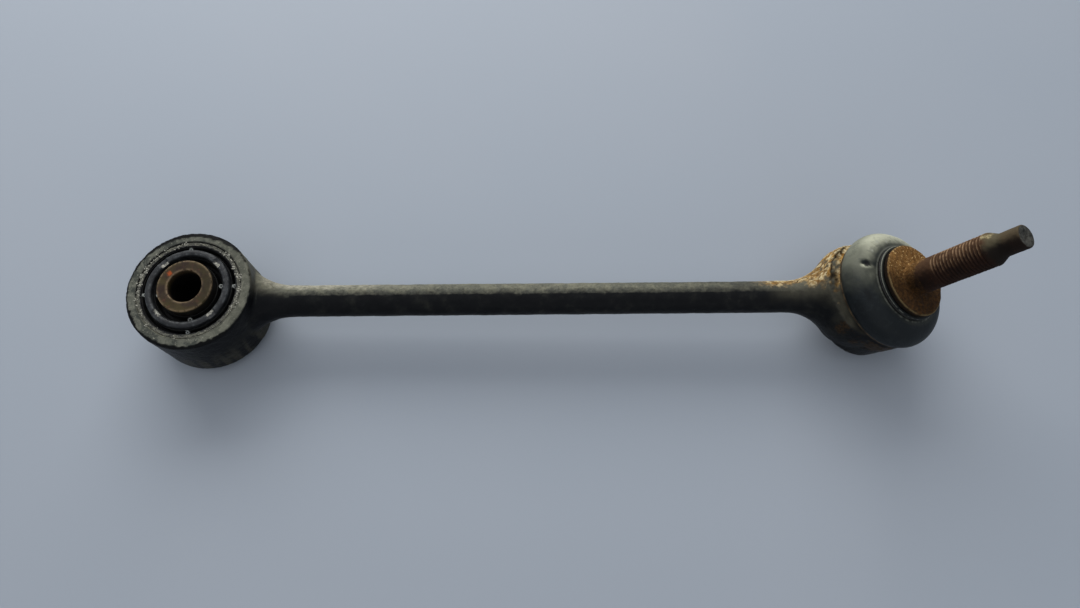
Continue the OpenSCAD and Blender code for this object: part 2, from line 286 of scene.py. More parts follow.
class Surface:
    """A node material in the making: each method adds a node and gives back its output."""

    def __init__(self, name):
        self.material = bpy.data.materials.new(name)
        self.material.use_nodes = True
        self.tree = self.material.node_tree
        self.shader = self.tree.nodes["Principled BSDF"]
        self.coords = self.add("ShaderNodeTexCoord").outputs

    def plug(self, socket, value):
        if isinstance(value, bpy.types.NodeSocket):
            self.tree.links.new(value, socket)
        else:
            socket.default_value = value

    def add(self, kind, inputs=None, **settings):
        made = self.tree.nodes.new(kind)
        for key, value in settings.items():
            setattr(made, key, value)
        for socket, value in (inputs or {}).items():
            self.plug(made.inputs[socket], value)
        return made

    def noise(self, size, detail=6, roughness=0.6, distortion=0.0):
        """Noise with features of the given size in millimetres."""
        inputs = {"Vector": self.coords["Object"], "Scale": 1 / (size * MM), "Detail": detail,
                  "Roughness": roughness, "Distortion": distortion}
        return self.add("ShaderNodeTexNoise", inputs).outputs["Fac"]

    def step(self, value, low, high):
        inputs = {"Value": value, "From Min": low, "From Max": high}
        return self.add("ShaderNodeMapRange", inputs, interpolation_type="SMOOTHSTEP").outputs["Result"]

    def span(self, value, low, high):
        """Maps 0 to 1 on to low to high."""
        inputs = {"Value": value, "To Min": low, "To Max": high}
        return self.add("ShaderNodeMapRange", inputs).outputs["Result"]

    def mix(self, factor, a, b):
        made = self.add("ShaderNodeMix", {0: factor, 6: a, 7: b}, data_type="RGBA")
        return made.outputs[2]

    def calc(self, operation, a, b=0.0):
        return self.add("ShaderNodeMath", {0: a, 1: b}, operation=operation).outputs[0]

    def mark(self, name):
        """A number that the mesh carries."""
        return self.add("ShaderNodeAttribute", attribute_name=name).outputs["Fac"]

    def facing(self, direction):
        """How far the surface faces a direction of the piece, -1 to 1."""
        inputs = {0: self.coords["Normal"], 1: Vector(direction).normalized()}
        return self.add("ShaderNodeVectorMath", inputs, operation="DOT_PRODUCT").outputs["Value"]

    def bump(self, height, depth, under=None):
        """Relief of the given depth in millimetres."""
        inputs = {"Height": height, "Distance": depth * MM, "Strength": 1.0}
        if under:
            inputs["Normal"] = under
        return self.add("ShaderNodeBump", inputs).outputs["Normal"]

    def done(self, color, roughness, normal=None, metallic=0.0, specular=0.3):
        self.plug(self.shader.inputs["Base Color"], color)
        self.plug(self.shader.inputs["Roughness"], roughness)
        self.plug(self.shader.inputs["Metallic"], metallic)
        self.plug(self.shader.inputs["Specular IOR Level"], specular)
        if normal:
            self.plug(self.shader.inputs["Normal"], normal)
        return self.material


def srgb(red, green, blue):
    """A colour given as 0 to 255 in sRGB, for a shader."""
    def linear(c):
        c = c / 255
        return c / 12.92 if c <= 0.04045 else ((c + 0.055) / 1.055) ** 2.4
    return linear(red), linear(green), linear(blue), 1.0


BLACK_PAINT = srgb(11, 12, 14)
WORN_PAINT = srgb(20, 21, 22)
# Dust colours: laid on the side toward the window, they are partly a painted sheen and painted highlight
DUST_AND_SHEEN = srgb(132, 131, 114)
GREY_DUST_AND_SHEEN = srgb(104, 105, 95)
PALE_DUST_AND_HIGHLIGHT = srgb(186, 182, 164)
RUST_DARK = srgb(70, 48, 24)
RUST = srgb(142, 104, 52)
RUST_GOLD = srgb(188, 148, 82)
CREAM = srgb(224, 210, 170)
MUD = srgb(60, 46, 30)
RUBBER = srgb(12, 12, 13)


def forging_material():
    """Dark paint under dust, laid on the side toward the window so that it is partly a painted sheen, with flaked
    paint, rust, mud and painted highlights where the mesh marks them.
    """
    s = Surface("forging_paint")
    fine = s.noise(0.9, 8, 0.7)
    broad = s.noise(7, 6, 0.6)
    cloud = s.noise(2.4, 8, 0.65, 0.4)
    paint = s.mix(s.step(broad, 0.3, 0.75), BLACK_PAINT, WORN_PAINT)
    # Dust film on the side toward the window: partly real dust, partly a painted sheen of the window's light
    lit_side = s.calc("ADD", s.facing((0, 0.93, 0.36)), s.span(cloud, -0.22, 0.22))
    film = s.step(lit_side, 0.27, 0.8)
    film = s.calc("MULTIPLY", film, s.calc("SUBTRACT", 1.0, s.mark("clean")))
    below = s.step(s.facing((0, 0.34, -0.94)), 0.0, 0.4)
    washed = s.calc("MULTIPLY", below, s.step(s.noise(9, 7, 0.65, 0.5), 0.44, 0.6))
    film = s.calc("MULTIPLY", film, s.span(washed, 1.0, 0.2))
    film = s.calc("MAXIMUM", film, s.calc("MULTIPLY", s.step(broad, 0.5, 0.8), 0.1))
    film = s.calc("MULTIPLY", film, s.span(s.step(fine, 0.3, 0.55), 0.5, 1.0))
    dust = s.mix(s.step(s.noise(3.2, 8, 0.7), 0.38, 0.64), GREY_DUST_AND_SHEEN, DUST_AND_SHEEN)
    dust = s.mix(s.step(fine, 0.66, 0.76), dust, PALE_DUST_AND_HIGHLIGHT)
    # Painted highlight: pale dust on the window side of the neck and rod
    dust = s.mix(s.calc("MULTIPLY", s.mark("painted_highlight"), s.step(cloud, 0.3, 0.6)), dust, PALE_DUST_AND_HIGHLIGHT)
    color = s.mix(film, paint, dust)
    color = s.mix(s.calc("MULTIPLY", s.mark("haze"), s.span(cloud, 0.2, 1.0)), color, srgb(104, 101, 86))
    blotch = s.mix(s.step(s.noise(4.2, 8, 0.7, 0.6), 0.4, 0.6), srgb(64, 67, 62), srgb(106, 107, 97))
    blotch = s.mix(s.step(cloud, 0.36, 0.28), blotch, srgb(34, 35, 34))
    blotch = s.mix(s.step(fine, 0.58, 0.68), blotch, srgb(166, 164, 148))
    # Painted sheen on the eye's face toward the rod
    blotch = s.mix(s.calc("MULTIPLY", s.mark("painted_highlight"), 0.5), blotch, DUST_AND_SHEEN)
    color = s.mix(s.mark("face"), color, blotch)
    rust = s.mix(s.step(fine, 0.34, 0.58), RUST_DARK, RUST)
    rust = s.mix(s.step(s.noise(1.6, 8, 0.7), 0.46, 0.62), rust, RUST_GOLD)
    color = s.mix(s.mark("rust"), color, rust)
    # Cream flakes, and a painted highlight along the lit edge of the flaking zone
    cream = s.mix(s.step(fine, 0.36, 0.56), srgb(150, 122, 74), CREAM)
    color = s.mix(s.mark("flake"), color, cream)
    mud = s.mix(s.step(fine, 0.4, 0.7), srgb(32, 23, 14), MUD)
    crumbs = s.calc("ADD", s.mark("mud"), s.span(fine, -0.5, 0.5))
    color = s.mix(s.step(crumbs, 0.25, 0.75), color, mud)
    color = s.mix(s.mark("crack"), color, srgb(8, 8, 8))
    rough = s.span(s.calc("MAXIMUM", film, s.mark("rust")), 0.42, 0.92)
    relief = s.bump(fine, 0.12, s.bump(broad, 0.25))
    return s.done(color, rough, relief, specular=0.08)


def rubber_material(name):
    """Black moulded rubber, with pale worn vent pips."""
    s = Surface(name)
    fine = s.noise(0.7, 8, 0.7)
    broad = s.noise(3.5, 6, 0.6)
    color = s.mix(s.calc("MULTIPLY", s.step(broad, 0.45, 0.75), 0.16), RUBBER, srgb(96, 95, 86))
    color = s.mix(s.step(fine, 0.68, 0.76), color, srgb(84, 84, 78))
    color = s.mix(s.calc("MULTIPLY", s.mark("pip"), s.step(fine, 0.32, 0.5)), color, srgb(186, 190, 186))
    return s.done(color, s.span(broad, 0.55, 0.8), s.bump(fine, 0.1), specular=0.2)


def interleaf_material():
    """Dark rubber skin, worn through to the pale ring at the moulding notches, with painted highlight lines along
    the bead crests.
    """
    s = Surface("interleaf_skin")
    fine = s.noise(0.6, 8, 0.7)
    broad = s.noise(2.6, 6, 0.6)
    skin = s.mix(s.step(broad, 0.35, 0.7), srgb(18, 19, 21), srgb(48, 50, 52))
    skin = s.mix(s.step(fine, 0.64, 0.76), skin, srgb(96, 98, 95))
    # Painted highlight along the crests of the end beads
    skin = s.mix(s.calc("MULTIPLY", s.mark("crest_highlight"), s.step(broad, 0.36, 0.62)), skin, srgb(88, 91, 92))
    bare = s.mix(s.step(fine, 0.36, 0.56), srgb(96, 94, 86), srgb(188, 186, 174))
    color = s.mix(s.mark("bare"), skin, bare)
    return s.done(color, s.span(broad, 0.36, 0.6), s.bump(fine, 0.12))


def core_material():
    """Steel sleeve with a bronze film of rust, pale worn edges and painted shade down the bore."""
    s = Surface("core_steel")
    fine = s.noise(0.5, 8, 0.7)
    broad = s.noise(5.5, 5, 0.55, 0.6)
    film = s.mix(s.step(broad, 0.36, 0.64), srgb(66, 57, 34), srgb(50, 38, 31))
    film = s.mix(s.step(s.noise(2.2, 8, 0.7), 0.54, 0.72), film, srgb(86, 57, 46))
    film = s.mix(s.step(fine, 0.58, 0.74), film, srgb(38, 29, 22))
    color = s.mix(s.mark("worn"), film, srgb(176, 152, 120))
    color = s.mix(s.mark("spot"), color, srgb(150, 70, 30))
    # Painted shade down the bore
    color = s.mix(s.mark("inside"), color, srgb(10, 7, 6))
    # skin: rubber over the side, and the end faces darker towards +X
    color = s.mix(s.mark("skin"), color, RUBBER)
    return s.done(color, s.span(broad, 0.5, 0.7), s.bump(fine, 0.06), metallic=0.1, specular=0.15)


def sleeve_material():
    """Outer sleeve's end and the dirt that crusts it: grey to pale grains with black between them, and painted
    shade along the inner edge.
    """
    s = Surface("outer_sleeve_steel")
    fine = s.noise(0.45, 8, 0.75)
    cloud = s.noise(1.6, 8, 0.7)
    color = s.mix(s.step(cloud, 0.36, 0.66), srgb(58, 58, 53), srgb(112, 111, 98))
    color = s.mix(s.step(fine, 0.56, 0.68), color, srgb(192, 190, 176))
    color = s.mix(s.step(fine, 0.46, 0.38), color, srgb(20, 20, 19))
    # lip: painted shade along the inner edge, by the rubber
    color = s.mix(s.mark("lip"), color, srgb(12, 12, 12))
    color = s.mix(s.calc("MULTIPLY", s.mark("crumb"), s.step(fine, 0.42, 0.6)), color, srgb(208, 206, 192))
    return s.done(color, s.span(cloud, 0.5, 0.8), s.bump(fine, 0.15))


def boot_material():
    """Smooth rubber: dark on the side away from the window, pale with dust and painted light toward it, and a
    painted highlight near the top.
    """
    s = Surface("boot_rubber")
    fine = s.noise(0.8, 8, 0.7)
    broad = s.noise(9, 5, 0.55, 0.5)
    cloud = s.noise(3, 8, 0.65, 0.8)
    # Dust and painted light: dark on the side away from the window, pale toward it
    dust_and_painted_light = s.calc("ADD", s.facing((-0.1, 0.98, 0.15)), s.span(broad, -0.28, 0.28))
    dust_and_painted_light = s.step(dust_and_painted_light, -0.12, 1.12)
    color = s.mix(dust_and_painted_light, srgb(21, 25, 27), srgb(146, 148, 129))
    # Painted highlight on the top, toward the lip
    top = s.calc("ADD", s.facing((0.25, 0.68, 0.68)), s.span(broad, -0.12, 0.12))
    color = s.mix(s.step(top, 0.72, 1.05), color, srgb(196, 197, 174))
    color = s.mix(s.calc("MULTIPLY", s.step(cloud, 0.5, 0.68), 0.35), color, srgb(46, 51, 52))
    color = s.mix(s.step(fine, 0.69, 0.76), color, srgb(120, 123, 115))
    # pale: painted highlight along the bead's edge, dust in the crease, and specks
    color = s.mix(s.mark("pale"), color, srgb(160, 162, 150))
    # dark: smears and the pit, and painted shade in the groove and on the lip
    color = s.mix(s.mark("dark"), color, srgb(8, 9, 9))
    return s.done(color, s.span(cloud, 0.42, 0.6), s.bump(fine, 0.05, s.bump(cloud, 0.12)), specular=0.14)


def stud_material():
    """Rusted steel: granular orange rust on the flange, darker and smoother on the thread and tip; painted light
    on the side toward the window, painted shade away from it, and painted highlights.
    """
    s = Surface("stud_rust")
    fine = s.noise(0.45, 8, 0.75)
    grit = s.noise(1.1, 8, 0.7, 0.3)
    broad = s.noise(6, 5, 0.6)
    lit_side = s.calc("ADD", s.facing((-0.2, 0.85, 0.3)), s.span(broad, -0.3, 0.3))
    lit_side = s.step(lit_side, -0.1, 0.85)
    # Painted light and shade: a lit copy of the rust toward the window, a shaded copy away from it
    dark = s.mix(s.step(broad, 0.35, 0.7), srgb(24, 14, 9), srgb(40, 24, 16))
    color = s.mix(lit_side, dark, srgb(84, 61, 43))
    color = s.mix(s.calc("MULTIPLY", s.step(grit, 0.58, 0.72), 0.6), color, srgb(104, 68, 40))
    # Painted highlight on the thread crests, on the side toward the window
    crest_highlight = s.mix(lit_side, srgb(44, 28, 20), srgb(166, 136, 104))
    color = s.mix(s.mark("crest_highlight"), color, crest_highlight)
    scab = s.mix(s.step(grit, 0.36, 0.6), srgb(98, 66, 34), srgb(144, 106, 60))
    scab = s.mix(s.step(fine, 0.56, 0.68), scab, srgb(206, 164, 100))
    scab = s.mix(s.step(s.noise(0.8, 3, 0.5), 0.6, 0.68), scab, srgb(228, 192, 130))
    low = s.mix(s.step(grit, 0.4, 0.65), srgb(44, 29, 14), srgb(74, 50, 25))
    low = s.mix(s.step(fine, 0.64, 0.74), low, srgb(132, 96, 50))
    # Scab in a lit copy on the flange's window side and a shaded copy away from it
    upper = s.step(s.calc("ADD", s.mark("upper"), s.span(broad, -0.5, 0.5)), -0.3, 0.7)
    color = s.mix(s.mark("scab"), color, s.mix(upper, low, scab))
    # Bare tip in a lit copy and a shaded copy
    color = s.mix(s.mark("bare"), color, s.mix(lit_side, srgb(24, 20, 16), srgb(94, 88, 68)))
    # worn: here a painted highlight, a pale patch on the tip's cone
    worn = s.mix(s.step(grit, 0.35, 0.6), srgb(110, 96, 66), srgb(196, 182, 140))
    color = s.mix(s.mark("worn"), color, worn)
    end = s.mix(s.step(grit, 0.35, 0.65), srgb(42, 42, 39), srgb(88, 88, 83))
    color = s.mix(s.mark("end"), color, end)
    # Painted shade on the flange's side and underside
    color = s.mix(s.mark("side"), color, srgb(17, 14, 11))
    color = s.mix(s.mark("edge"), color, srgb(128, 112, 78))
    return s.done(color, s.span(grit, 0.6, 0.9), s.bump(fine, 0.1, s.bump(grit, 0.15)), specular=0.1)


def steel_material(name, shade, tint):
    """Dull steel with stains: for the boot's rings and the closing plate."""
    s = Surface(name)
    fine = s.noise(0.5, 8, 0.7)
    broad = s.noise(3, 6, 0.6)
    color = s.mix(s.step(broad, 0.35, 0.7), shade, tint)
    color = s.mix(s.step(fine, 0.6, 0.75), color, RUST_DARK)
    return s.done(color, s.span(broad, 0.4, 0.7), s.bump(fine, 0.05), metallic=0.3)


def seat_material():
    """Greased white plastic."""
    s = Surface("seat_plastic")
    broad = s.noise(4, 5, 0.5)
    color = s.mix(s.step(broad, 0.4, 0.7), srgb(226, 222, 208), srgb(196, 186, 160))
    return s.done(color, s.span(broad, 0.3, 0.5))


def wear(piece, body, slot, material, *nodes):
    """Puts a piece on its body with its finish; it stands for the CAD nodes named."""
    piece.data.materials.clear()
    piece.data.materials.append(material)
    if body:
        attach(piece, body)
    if nodes:
        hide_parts(*nodes)
    return piece


# Forging

FORGING_VOXEL = 0.5 * MM
SMOOTH_PASSES = 4


def remeshed(node, name, voxel):
    """An even, softly edged copy of a CAD node's mesh."""
    piece = as_object(name, frame["nodes"][node].data.copy())
    grid = piece.modifiers.new("grid", "REMESH")
    grid.mode = "VOXEL"
    grid.voxel_size = voxel
    even = piece.modifiers.new("even", "SMOOTH")
    even.iterations = SMOOTH_PASSES
    even.factor = 0.5
    graph = bpy.context.evaluated_depsgraph_get()
    mesh = bpy.data.meshes.new_from_object(piece.evaluated_get(graph))
    piece.modifiers.clear()
    piece.data = mesh
    mesh.shade_smooth()
    return piece


CRACK_HEIGHT = 1.6
FLAKE_SIZE = 2.6


def eye_marks(p, n, fine, skin):
    """Dusty faces of the eye, their chipped outer edge and the black line that the chips leave."""
    from_bore = np.hypot(p[:, 0], p[:, 1])
    from_edge = np.hypot(from_bore - EYE_R, np.abs(p[:, 2]) - EYE_HALF)
    black_edge = 1.1 + 0.8 * ease(p[:, 1], 9, 21) - 0.7 * ease(p[:, 0], 8, 18) + 0.5 * fine + 0.35 * skin
    edge = ease(black_edge - from_edge, -0.15, 0.25)
    chip = np.exp(-(from_edge / 0.9) ** 2) * np.clip(fine + 0.15, 0, 1)
    on_face = ease(np.abs(n[:, 2]), 0.7, 0.95) * ease(EYE_R + 1 - from_bore, 0, 0.5)
    return on_face * (1 - edge), chip, edge


def flake_marks(p, fine):
    """Cells of lifted paint with cracks between them, at points in the flaking zone."""
    flake, crack = np.zeros(len(p)), np.zeros(len(p))
    for i, point in enumerate(p):
        gap, seeds = noise.voronoi(Vector(point + 1.1 * fine[i]) / FLAKE_SIZE)
        edge = gap[1] - gap[0]
        flake[i] = ease(noise.noise(seeds[0] * 3.7), -0.24, -0.04) * ease(edge, 0.02, 0.2)
        crack[i] = ease(0.06 - edge, 0, 0.06) * ease(noise.noise(seeds[0] * 2.3), 0.1, 0.3)
    return flake, crack


def flaking_zone(p, n, from_stud, height, fine, skin):
    """Weather side of the flare and the shoulder, where paint has lifted off over rust."""
    from_ball = p[:, 0] - BALL.x / MM
    facing = n[:, 1] + 0.3 * n[:, 2] + 0.2 * fine + 0.15 * skin + 0.3 * ease(height, -9, -1)
    zone = ease(from_ball + 2.5 * skin, -48, -36) * ease(facing, 0.55, 0.9)
    strip = ease(height, CRACK_HEIGHT, CRACK_HEIGHT + 0.4) * ease(n[:, 1] + 0.3 * skin, 0.2, 0.55)
    sheltered = ease(0.3 * n[:, 1] - n[:, 2] + 0.3 * skin, 0, 0.4)
    return np.maximum(zone * (1 - 0.85 * sheltered), strip) * ease(from_stud, 15.5, 17)


def clean_marks(p, fine, skin):
    """Where the dust and its painted sheen are thinner: patches of the eye's wall, and the rod toward the joint.
    """
    wall = ease(EYE_R + 2 - np.hypot(p[:, 0], p[:, 1]), 0, 2) * ease(skin + 0.5 * fine, -0.5, 0.1)
    wall *= ease(19 - p[:, 0], 0, 5)
    return np.maximum(0.75 * wall, 0.45 * ease(p[:, 0] + 10 * skin, 155, 210))


def painted_highlight_marks(p, n, fine, skin):
    """Painted highlight in pale dust along the window side of the neck and rod, and a painted sheen on the eye's
    face toward the rod.
    """
    from_bore = np.hypot(p[:, 0], p[:, 1])
    along = ease(95 - p[:, 0] + 12 * skin, 0, 60) * ease(from_bore, EYE_R, EYE_R + 3)
    face = ease(p[:, 0] + 2 * skin, 4, 16) * ease(EYE_R - from_bore, 0, 0.5) * ease(n[:, 2], 0.7, 0.95)
    return np.maximum(along * ease(n[:, 1] + 0.2 * fine, 0.3, 0.8), 0.5 * face)


def haze_marks(p, n, skin):
    """Thin dust: on the flare, the housing and the eye's neck, and as streaks down the eye's wall."""
    near_ball = ease(p[:, 0] - BALL.x / MM + 2 * skin, -46, -30) * ease(n[:, 1] + 0.3 * skin, -0.75, 0.3)
    streak = grain(p * np.array([1, 1, 0.12]), 2.6, 4, 18)
    wall = ease(EYE_R + 1.5 - np.hypot(p[:, 0], p[:, 1]), 0, 1) * ease(-p[:, 2], -4, 8)
    neck = ease(p[:, 0], 12, 19) * ease(38 - p[:, 0], 0, 12)
    neck *= ease(n[:, 1] + p[:, 1] / 15 + 0.25 * skin, -0.3, 0.5)
    return np.maximum.reduce([0.8 * near_ball, 0.65 * neck, 0.4 * wall * ease(streak, -0.1, 0.35)])


def lifted_paint(p, n, flaking, fine, skin):
    """Flakes and cracks in the flaking zone; along its lit edge the cream flake colour is a painted highlight,
    raised like a flake all along.
    """
    zone = np.nonzero(flaking > 0.02)[0]
    flake, crack = np.zeros(len(p)), np.zeros(len(p))
    flake[zone], crack[zone] = flake_marks(p[zone], fine[zone])
    lit_edge = ease(n[:, 1] + 0.25 * fine, 0.78, 1.0) * ease(n[:, 2] + 0.3 * skin, -0.05, 0.3)
    return np.maximum(flake * ease(fine + 0.4 * skin, -0.45, -0.1), lit_edge), crack


def split_marks(n, from_stud, height, fine, skin):
    """Ragged split in the paint below the shoulder."""
    split = np.exp(-((height - CRACK_HEIGHT + 0.1 - 0.6 * skin - 0.5 * fine) / 0.4) ** 2)
    return split * ease(from_stud, 19, 20) * ease(n[:, 1] + 0.2 * skin, -0.25, 0.2)


def mud_marks(p, n, from_stud, height, skin):
    """Mud that has dried on the sheltered side, along the shoulder."""
    wall = ease(from_stud, 18, 19.5) * ease(2.2 - height, 0, 0.8) * ease(height, -7, -3)
    clods = grain(p, 6.0, 2, 5) + 0.5 * grain(p, 1.1, 3, 6)
    return wall * ease(clods, -0.9, 0.6) * ease(-n[:, 1] + 0.2 * skin, 0.45, 0.9)


def forging():
    """Rod, eye and housing with forged skin, chipped edges, flaking paint, mud, and painted sheen and highlights.
    """
    piece = remeshed("link_forging", "forging", FORGING_VOXEL)
    p, n = points_of(piece)
    from_stud, height, _ = joint_polar(p)
    outside = ease(np.hypot(p[:, 0], p[:, 1]), SLEEVE_OUT + 0.2, SLEEVE_OUT + 0.8)
    outside *= np.maximum(ease(from_stud, 15.5, 17), ease(-height, 12.5, 13))
    skin = grain(p, 7.0, 2, 1)
    fine = grain(p, 1.8, 3, 2)
    face, chip, edge = eye_marks(p, n, fine, skin)
    flaking = flaking_zone(p, n, from_stud, height, fine, skin)
    flake, crack = lifted_paint(p, n, flaking, fine, skin)
    rust = flaking * ease(fine + 0.5 * skin, -0.85, -0.45)
    split = split_marks(n, from_stud, height, fine, skin)
    mud = mud_marks(p, n, from_stud, height, skin)

    move = 0.10 * skin + 0.07 * fine - 0.5 * chip
    move += flaking * (0.16 * flake - 0.2 * crack)
    move -= 0.5 * split
    move += 0.35 * mud * (0.6 + 0.4 * fine)
    piece.data.vertices.foreach_set("co", ((p + n * (move * outside)[:, None]) * MM).ravel())
    piece.data.update()
    marks = {
        "face": face,
        "haze": haze_marks(p, n, skin),
        # painted highlight and sheen of pale dust
        "painted_highlight": painted_highlight_marks(p, n, fine, skin),
        "clean": clean_marks(p, fine, skin),
        "rust": rust,
        # flakes, with a painted highlight along the zone's lit edge
        "flake": flaking * flake,
        "mud": mud,
        "crack": np.maximum.reduce([flaking * crack, split, edge]),
    }
    for name, values in marks.items():
        mark(piece, name, values * outside)
    return wear(piece, "link", "forging", forging_material(), "link_forging")


# Bush

PIP_R = 0.8
PIP_SINK = 0.3
NOTCH_W = 3.0
NOTCH_DEPTH = 0.9
NOTCHES = 4


def ring_outline(r_in, r_out, half, edge, step):
    """Closed outline of a plain ring with rounded edges."""
    corners = [(r_in, 0), (r_in, -half), (r_out, -half), (r_out, half), (r_in, half), (r_in, 0)]
    return finely(soften(corners, edge), step)[:-1]


# Where dirt has caked along the bush's edge: angle and spread in radians, number of clumps
CAKED = ((3.05, 0.2, 30), (2.45, 0.3, 16), (0.3, 0.42, 42),
         (-0.4, 0.3, 18), (1.72, 0.1, 9), (3.8, 0.35, 12))


def crumb(place, size, chance):
    """One grain of dirt."""
    about_z = Matrix.Rotation(chance.uniform(0, FULL_TURN), 4, "Z")
    about_x = Matrix.Rotation(chance.uniform(0, 3), 4, "X")
    stretch = Matrix.Diagonal((chance.uniform(0.7, 1.4), chance.uniform(0.7, 1.2), 0.8, 1))
    work = bmesh.new()
    bmesh.ops.create_icosphere(work, subdivisions=1, radius=size * MM)
    work.transform(Matrix.Translation(place * MM) @ (about_z @ about_x) @ stretch)
    mesh = bpy.data.meshes.new("crumb")
    work.to_mesh(mesh)
    work.free()
    return mesh


def clump(turn, chance):
    """A few grains of dirt on the eye's face, near the bush's outer edge."""
    side = chance.choice((1, 1, 1, -1))
    radius = SLEEVE_IN + 0.45 + abs(chance.gauss(0, 0.75))
    grains = []
    for _ in range(chance.randint(2, 5)):
        size = chance.uniform(0.14, 0.42)
        at = radius + chance.gauss(0, 0.3)
        angle = turn + chance.gauss(0, 0.4) / radius
        base = EYE_HALF if at > SLEEVE_OUT else SLEEVE_HALF + 0.1
        place = Vector((at * math.cos(angle), at * math.sin(angle), side * base))
        grains.append(crumb(place, size, chance))
    return grains


def outer_sleeve():
    """Pressed-in sleeve whose ends are rough with flash and crusted dirt."""
    def rough(r, h, t):
        bits = ring_grain(r, h, t, 0.7, 3, 8)
        at_end = ease(np.abs(h), SLEEVE_HALF - 0.5, SLEEVE_HALF)
        lower = ease(-np.sin(t), -0.2, 0.5)
        return r, h + np.sign(h) * at_end * (0.1 + 0.25 * lower + 0.35 * np.clip(bits, -0.4, 1))
    outline = ring_outline(SLEEVE_IN + 0.02, SLEEVE_OUT, SLEEVE_HALF, 0.2, 0.2)
    ends = [p for p in outline if abs(p[1]) > SLEEVE_HALF - 1.5 or abs(p[1]) < 0.2]
    sleeve = lathe_mesh("outer_sleeve", ends, 320, Matrix.Identity(4), rough, True)
    chance = random.Random(5)
    grains = []
    for turn, spread, count in CAKED:
        for _ in range(count):
            grains += clump(turn + chance.gauss(0, spread), chance)
    piece = join("outer_sleeve", [sleeve] + grains)
    p, _ = points_of(piece)
    is_crumb = np.arange(len(p)) >= len(sleeve.vertices)
    # Painted shade: a ragged black band along the sleeve's inner edge
    lip = ease(SLEEVE_IN + 0.5 + 0.35 * grain(p, 0.9, 3, 21) - np.hypot(p[:, 0], p[:, 1]), 0, 0.2)
    mark(piece, "crumb", is_crumb)
    mark(piece, "lip", lip * ~is_crumb)
    return wear(piece, "link", "sleeve", sleeve_material(), "bush_outer_sleeve")


def pip(radius, angle, top, size):
    """Hollow vent pip that stands in a rubber groove."""
    rim = [(0, -0.45), (0.35, -0.42), (0.6, -0.1), (0.78, 0), (0.95, -0.12), (1, -0.4), (1, -3.5)]
    place = Matrix.Translation(Vector((radius * math.cos(angle), radius * math.sin(angle), top)) * MM)
    return lathe_mesh("pip", [(r * size, h) for r, h in rim], 20, place)


def blend_by_radius(piece, outer_body, inner_body, r_out, r_in):
    """Lays a ring's section out flat, bakes its transform, and puts its points back as they were."""
    p, _ = points_of(piece)
    flat = np.column_stack([np.hypot(p[:, 0], p[:, 1]), np.zeros(len(p)), p[:, 2]])
    piece.data.vertices.foreach_set("co", (flat * MM).ravel())
    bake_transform(piece)
    piece.data.vertices.foreach_set("co", (p * MM).ravel())
    piece.data.update()


def rubber(name, bodies, r_in, r_out, half, node, turn):
    """Rubber layer with a deep groove in each end and four pips in each groove."""
    skin, depth = 0.35, 4.0
    low, high = r_in + skin, r_out - skin
    floor = half - depth
    middle, bend = (low + high) / 2, (high - low) / 2
    end = [(r_in, half)] + [(low, half)] + [(low, floor + bend)]
    end += arc((middle, floor + bend), bend, 180, 360, 8) + [(high, half), (r_out, half)]
    outline = [(r_in, 0)] + end + [(r_out, 0)] + [(r, -h) for r, h in reversed(end)]

    def lumpy(r, h, t):
        bits = ring_grain(r, h, t, 1.6, 3, 4)
        lip = ease(np.abs(h), half - 0.8, half)
        return r, h + np.sign(h) * lip * 0.22 * bits
    outline = finely(soften(outline, 0.15, 2), 0.8)
    body_mesh = lathe_mesh(name, outline, 224, Matrix.Identity(4), lumpy, True)
    turns = [turn + i * FULL_TURN / 4 for i in range(4)]
    size = min(PIP_R, bend + 0.1)
    piece = join(name, [body_mesh] + [pip(middle, angle, half - PIP_SINK, size) for angle in turns])
    p, _ = points_of(piece)
    away = [np.hypot(p[:, 0] - middle * math.cos(a), p[:, 1] - middle * math.sin(a)) for a in turns]
    away = np.minimum.reduce(away) / size
    on_rim = ease(1.05 - away, 0, 0.04) * ease(away, 0.3, 0.6)
    mark(piece, "pip", on_rim * ease(p[:, 2], half - 1.6, half - 0.8))
    material = rubber_material(name + "_rubber")
    if len(bodies) == 1:
        return wear(piece, bodies[0], "bush_rubber", material, node)
    wear(piece, None, "bush_rubber", material, node)
    blend_by_radius(piece, *bodies, high, low)
    return piece


